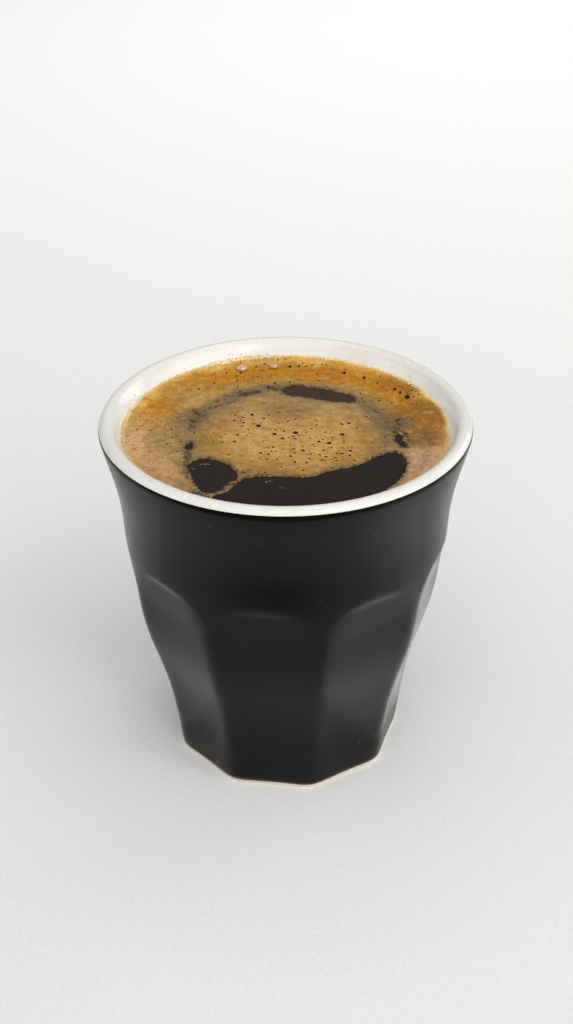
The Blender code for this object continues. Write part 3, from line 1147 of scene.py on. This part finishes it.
def crema_tones(finish, place, waver, frontness, distance):
    """Colours by their distance from the middle, and the tints that lie over them, two of them
    partly painted shade.
    """
    start = RING_WAVER / 2 * MM
    inputs = {"Value": distance, "From Min": start, "From Max": CREMA_REACH + start}
    part = add_node(finish, "ShaderNodeMapRange", inputs).outputs[0]
    back = ramp(finish, part, CREMA_BACK, CREMA_REACH / MM)
    front = ramp(finish, part, CREMA_FRONT, CREMA_REACH / MM)
    tones = mixed(finish, frontness, back, front)
    for middle, reach, code, strength in STAINS_AND_PAINTED_SHADE:
        away, _ = distance_from(finish, place, middle, waver, STAIN_WAVER)
        edge = (reach + STAIN_WAVER / 2) * MM
        core = (STAIN_CORE * reach + STAIN_WAVER / 2) * MM
        stained = soft_step(finish, away, edge, core, strength)
        tones = mixed(finish, stained, tones, colour(code))
    return tones


def streaked(finish, distance, offset, tones):
    """Streaks that follow the wall, as the froth turned in the cup."""
    around = vector_math(finish, "NORMALIZE", {0: offset})
    slow = vector_math(finish, "SCALE", {0: around, "Scale": 7 * MM})
    outwards = add_node(finish, "ShaderNodeCombineXYZ", {"Z": distance}).outputs[0]
    swirl = vector_math(finish, "ADD", {0: slow, 1: outwards})
    streak = soft_step(finish, noise(finish, swirl, 420, 5), 0.42, 0.72, 0.42)
    return mixed(finish, streak, tones, colour("#7a5120"))


def blotted(finish, blots, tones):
    """Darker blots in the froth, and lighter ones between them."""
    dark = soft_step(finish, blots, 0.47, 0.72, 0.35)
    tones = mixed(finish, dark, tones, colour("#6c5230"))
    light = soft_step(finish, blots, 0.48, 0.28, 0.2)
    return mixed(finish, light, tones, colour("#dcb574"))


def fringed(finish, place, waver, frontness, tones):
    """The froth that climbs the wall is thinnest there and glows pale yellow."""
    radius, _ = distance_from(finish, place, (0, 0), waver, FRINGE_WAVER)
    fringe = mixed(finish, frontness, colour("#efdbab"), colour("#cdac72"))
    amount = soft_step(finish, radius, 36.7 * MM, 38.7 * MM, 0.9)
    return mixed(finish, amount, tones, fringe)


def thinned(finish, place, tones):
    """Thin froth is grey and ragged: the coffee shows through its smallest gaps first."""
    thin = add_node(finish, "ShaderNodeAttribute", {}, attribute_name="thin").outputs["Fac"]
    ragged = wavered(finish, thin, noise(finish, place, 1100, 4), 1.3)
    greyed = soft_step(finish, thin, 0.05, 0.6, 0.6)
    tones = mixed(finish, greyed, tones, colour("#6b5a42"))
    shown = soft_step(finish, ragged, 1.0, 1.4, 0.92)
    return mixed(finish, shown, tones, colour("#33271c"))


def rim_highlighted(finish, tones):
    """A painted highlight where the rim of a popped bubble catches the light, on its far side."""
    pale = add_node(finish, "ShaderNodeAttribute", {}, attribute_name="painted_rim_highlight").outputs["Fac"]
    # The pale colour laid on here is a painted highlight
    return mixed(finish, soft_step(finish, pale, 0.1, 0.9, 0.4), tones, colour("#e0bb88"))


def pinholed(finish, place, tones):
    """Pinholes of 0.15 mm, drawn at 0.25 mm so that they show."""
    pinholes = cells(finish, place, 1300)
    rare = soft_step(finish, axis(finish, pinholes.outputs["Color"], "X"), 0.62, 0.64)
    holes = soft_step(finish, pinholes.outputs["Distance"], 0.22, 0.08, 0.75)
    dotted = add_node(finish, "ShaderNodeMath", {0: rare, 1: holes}, operation="MULTIPLY")
    return mixed(finish, dotted.outputs[0], tones, colour("#5c3a18"))


def fresh_crema():
    """Fine coffee froth: matt, golden in the middle, greyer round that and amber at the wall."""
    finish, place = new_finish("coffee crema, fine brown froth")
    waver = noise(finish, place, 170, 5)
    blots = noise(finish, place, 480, 7)
    frontness = soft_step(finish, axis(finish, place, "Y"), 9 * MM, -9 * MM)
    distance, offset = distance_from(finish, place, THIN_RING_MIDDLE, waver, RING_WAVER)
    tones = crema_tones(finish, place, waver, frontness, distance)
    tones = streaked(finish, distance, offset, tones)
    tones = blotted(finish, blots, tones)
    tones = fringed(finish, place, waver, frontness, tones)
    tones = thinned(finish, place, tones)
    tones = rim_highlighted(finish, tones)
    tones = pinholed(finish, place, tones)
    # Foam cells of 0.15 to 0.3 mm, drawn at 0.35 mm so that they show
    foam = cells(finish, place, 2800).outputs["Distance"]
    grain = spread_over(finish, noise(finish, place, 2300, 3), 0.72, 1.3)
    inputs = {
        "Base Color": vector_math(finish, "SCALE", {0: tones, "Scale": grain}),
        "Normal": bumped(finish, foam, 0.6, 0.12 * MM),
        "Roughness": spread_over(finish, blots, 0.45, 0.7),
        "Specular IOR Level": 0.12,
    }
    return shaded(finish, inputs)


def bubble_film():
    """Thin glossy bubble walls with a small bright glint each; their pale cream over the froth is
    partly their own and partly painted highlight.
    """
    inputs = {"Roughness": 0.15, "IOR": WATERY_IOR}
    return patchy("froth bubble, thin wet film", 1200, ("#e0c48c", "#f6e8c8"), inputs)


def dome_film():
    """A large bubble's dome: a painted whitish highlight on its top, amber at its foot where froth
    shows through.
    """
    finish, place = new_finish("large froth bubble, thin film with painted highlight")
    patches = noise(finish, place, 900)
    # Whitish patches: the colour of the painted highlight on the dome's top
    film = ramp(finish, patches, ((0.4, "#d9b187"), (0.6, "#fbf0e6")))
    # The highlight is painted on the dome above a wavering height
    height = wavered(finish, axis(finish, place, "Z"), patches, 0.8 * MM)
    painted_top_highlight = soft_step(finish, height, CREMA_TOP + 0.75 * MM, CREMA_TOP + 1.25 * MM, 0.95)
    inputs = {
        "Base Color": mixed(finish, painted_top_highlight, colour("#a0651c"), film),
        "Roughness": 0.12,
        "IOR": WATERY_IOR,
        "Alpha": 0.6,
    }
    return shaded(finish, inputs)


def grey_foam():
    """Spent foam on black coffee: grey brown, half sunk and wet."""
    return patchy("grey foam, spent and wet", 1500, ("#4a3e38", "#7c6e66"), {"Roughness": 0.3})


def dried_froth():
    """Dried froth on the wall: matt brown specks."""
    return patchy("froth speck, dried on glaze", 1500, ("#8a6a4c", "#b89878"), {"Roughness": 0.6})


def popped_bubble():
    """The wet inside of a popped bubble, dark where the froth wall is thin over the coffee."""
    inputs = {"Roughness": 0.3, "Specular IOR Level": 0.3}
    return patchy("wet froth wall inside a popped bubble", 1500, ("#200f04", "#47270c"), inputs)


def paper():
    """Matt white paper: its grey fibres give a faint, even tooth."""
    finish, place = new_finish("matt white backdrop paper")
    # Fibres of 0.3 mm, drawn at 1 mm so that they show
    fibres = noise(finish, place, 1000, 3)
    shade = ramp(finish, fibres, ((0.3, "#dbdbda"), (0.7, "#e1e1e0")))
    inputs = {"Base Color": shade, "Roughness": 1.0, "Specular IOR Level": 0.0}
    return shaded(finish, inputs)


def studio_floor(finish):
    """A plain pale floor, wide enough to end out of sight."""
    bpy.ops.mesh.primitive_plane_add(size=FLOOR_SIZE, location=(0, 0, 0))
    floor = bpy.context.object
    floor.name = "studio_floor"
    floor.data.materials.append(finish)


def soft_light(name, place, size, power, tint):
    """A square soft box that looks at the drink."""
    data = bpy.data.lights.new(name, "AREA")
    data.shape = "SQUARE"
    data.size = size
    data.energy = power
    data.color = colour(tint)[:3]
    light = bpy.data.objects.new(name, data)
    bpy.context.scene.collection.objects.link(light)
    light.location = place
    aim = Vector((0, 0, AIM_HEIGHT)) - Vector(place)
    light.rotation_euler = aim.to_track_quat("-Z", "Y").to_euler()
    return light


def studio_card(name, place, size, turn, glow=0.0):
    """A card out of the camera's sight that only reflections show, black or softly glowing."""
    bpy.ops.mesh.primitive_plane_add(size=1, location=place, rotation=turn)
    card = bpy.context.object
    card.name = name
    card.scale = (*size, 1)
    card.visible_camera = False
    card.visible_shadow = False
    card.visible_diffuse = False
    finish, _ = new_finish(name)
    inputs = {
        "Base Color": colour("#202020"),
        "Roughness": 0.9,
        "Emission Color": colour("#ffffff"),
        "Emission Strength": glow,
    }
    card.data.materials.append(shaded(finish, inputs))


def studio_lights():
    """Large soft lights round the drink, cards for its reflections and a pale room."""
    soft_light("window_right", (1.0, -0.5, 0.75), 1.3, 9, "#fffefb")
    soft_light("front", (0.15, -1.0, 1.0), 1.5, 12.8, "#ffffff")
    soft_light("overhead", (0.0, -0.1, 1.5), 1.6, 3, "#ffffff")
    backdrop = soft_light("backdrop", (-0.05, 0.75, 1.2), 0.6, 1.6, "#ffffff")
    backdrop.rotation_euler = (0, 0, 0)
    backdrop.data.spread = math.radians(70)
    soft_light("fill_left", (-1.1, -0.2, 0.7), 1.0, 2.5, "#fcfdff")
    soft_light("back_right", (0.9, 0.9, 0.5), 0.6, 3, "#ffffff")
    studio_card("card_on_table", (0, -0.6, 0.002), (1.6, 1.0), (0, 0, 0))
    studio_card("card_behind_camera", (0, -1.0, 0.5), (2.4, 1.2), (math.pi / 2, 0, 0))
    studio_card("card_left", (-0.055, -0.02, 0.001), (0.05, 0.07), (0, 0, 0), 0.7)
    studio_card("card_right", (0.07, -0.015, 0.001), (0.08, 0.07), (0, 0, 0), 1.15)
    studio_card("card_back_right", (0.04, 0.045, 0.001), (0.045, 0.05), (0, 0, 0), 1.0)
    world = bpy.data.worlds.new("studio_room")
    bpy.context.scene.world = world
    world.use_nodes = True
    background = world.node_tree.nodes["Background"]
    background.inputs["Color"].default_value = colour("#ffffff")
    background.inputs["Strength"].default_value = 0.31


def photo_camera():
    """A camera that sees the drink from where the photograph was taken."""
    data = bpy.data.cameras.new("photo_camera")
    data.sensor_fit = "VERTICAL"
    data.sensor_height = SENSOR_HEIGHT
    data.lens = FOCAL_PIXELS * SENSOR_HEIGHT / PHOTO_HEIGHT
    data.clip_start = 0.01
    camera = bpy.data.objects.new("photo_camera", data)
    bpy.context.scene.collection.objects.link(camera)
    camera.matrix_world = (
        Matrix.Translation(CAMERA_PLACE)
        @ Matrix.Rotation(CAMERA_TURN, 4, "Z")
        @ Matrix.Rotation(math.pi / 2 - CAMERA_PITCH, 4, "X")
        @ Matrix.Rotation(CAMERA_ROLL, 4, "Z")
    )
    bpy.context.scene.camera = camera


def main():
    """Builds the studio and every piece of the drink."""
    bpy.context.scene.view_settings.view_transform = "Standard"
    photo_camera()
    studio_floor(paper())
    studio_lights()
    glazed_tumbler(black_glaze(), white_glaze(), bare_clay())
    coffee_body(brewed_coffee())
    crema_layer(fresh_crema(), popped_bubble())
    wall_bubbles(bubble_film())
    large_bubbles(dome_film())
    foam_flecks(grey_foam())
    wall_specks(dried_froth())


main()
